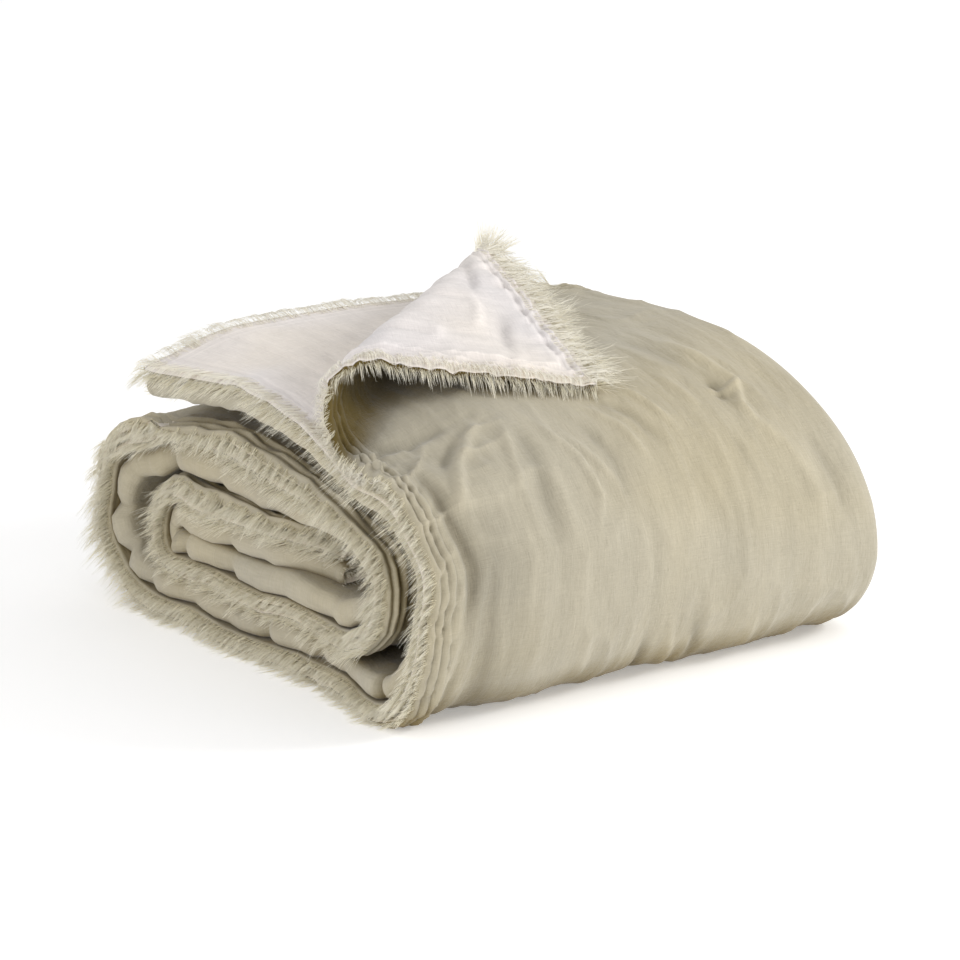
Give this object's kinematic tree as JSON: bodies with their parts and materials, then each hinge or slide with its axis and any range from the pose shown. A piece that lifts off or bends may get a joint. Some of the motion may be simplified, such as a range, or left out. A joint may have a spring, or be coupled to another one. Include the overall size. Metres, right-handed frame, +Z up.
{
  "type": "throw blanket",
  "caption": "Fringed linen throw folded lengthwise and rolled up flat, with a corner of its outer end turned back to show the paler reverse.",
  "frame": {"origin": "middle of the bundle's underside, on the surface it lies on", "axes": "+X along the roll from its fringed end to its folded end, +Y from the rounded front of the bundle to the back, where the outer end edge lies on top, +Z up"},
  "size_m": [0.3544, 0.3722, 0.212],
  "materials": {
    "face_linen": "matte woven linen, khaki",
    "reverse_linen": "matte woven linen, off-white",
    "frayed_yarn": "matte frayed linen yarn"
  },
  "bodies": {
    "root": {"face_panel": "face_linen", "reverse_panel": "reverse_linen", "fringe_upper_side": "frayed_yarn", "fringe_lower_side": "frayed_yarn", "fringe_outer_end": "frayed_yarn", "fringe_core_end": "frayed_yarn"}
  },
  "joints": []
}
